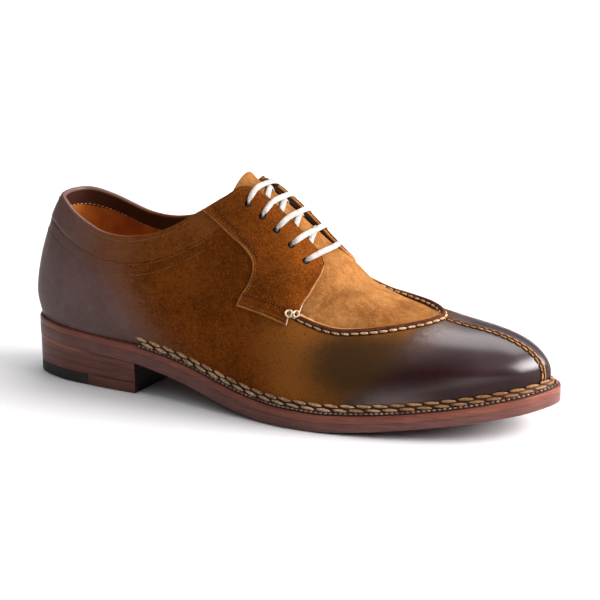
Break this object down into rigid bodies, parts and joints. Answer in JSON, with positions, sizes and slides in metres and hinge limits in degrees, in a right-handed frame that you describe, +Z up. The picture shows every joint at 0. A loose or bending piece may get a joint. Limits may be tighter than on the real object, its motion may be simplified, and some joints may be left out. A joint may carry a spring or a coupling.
{
  "type": "derby shoe",
  "caption": "Right derby shoe with a split toe, a raised apron seam, open lacing under facings and a leather sole on a stacked heel.",
  "frame": {"origin": "on the floor plane, under the middle of the sole's bounding box", "axes": "+X towards the toe, +Y towards the medial side, +Z up"},
  "size_m": [0.3068, 0.1038, 0.1211],
  "materials": {
    "sole leather": "satin, reddish brown edge",
    "midsole leather": "satin, lighter reddish brown",
    "heel leather": "satin, stacked",
    "rubber": "matt, near black",
    "insole leather": "smooth tan",
    "suede": "golden brown suede, burnished dark at toe and heel",
    "apron suede": "light tan suede",
    "welt leather": "brown, carries the braided stitching",
    "seam thread": "waxed thread, cream to brown",
    "lace cotton": "round white cord"
  },
  "bodies": {
    "root": {"outsole": "sole leather", "midsole": "midsole leather", "heel_lift_1": "heel leather", "heel_lift_2": "heel leather", "heel_lift_3": "heel leather", "top_piece": "heel leather", "heel_rubber": "rubber", "insole": "insole leather", "upper": "suede", "facing_lateral": "suede", "facing_medial": "suede", "tongue": "apron suede", "welt_bead": "welt leather", "apron_seam": "seam thread", "toe_seam": "seam thread", "lace_bar_1": "lace cotton", "lace_bar_2": "lace cotton", "lace_bar_3": "lace cotton", "lace_bar_4": "lace cotton", "lace_bar_5": "lace cotton"}
  },
  "joints": []
}
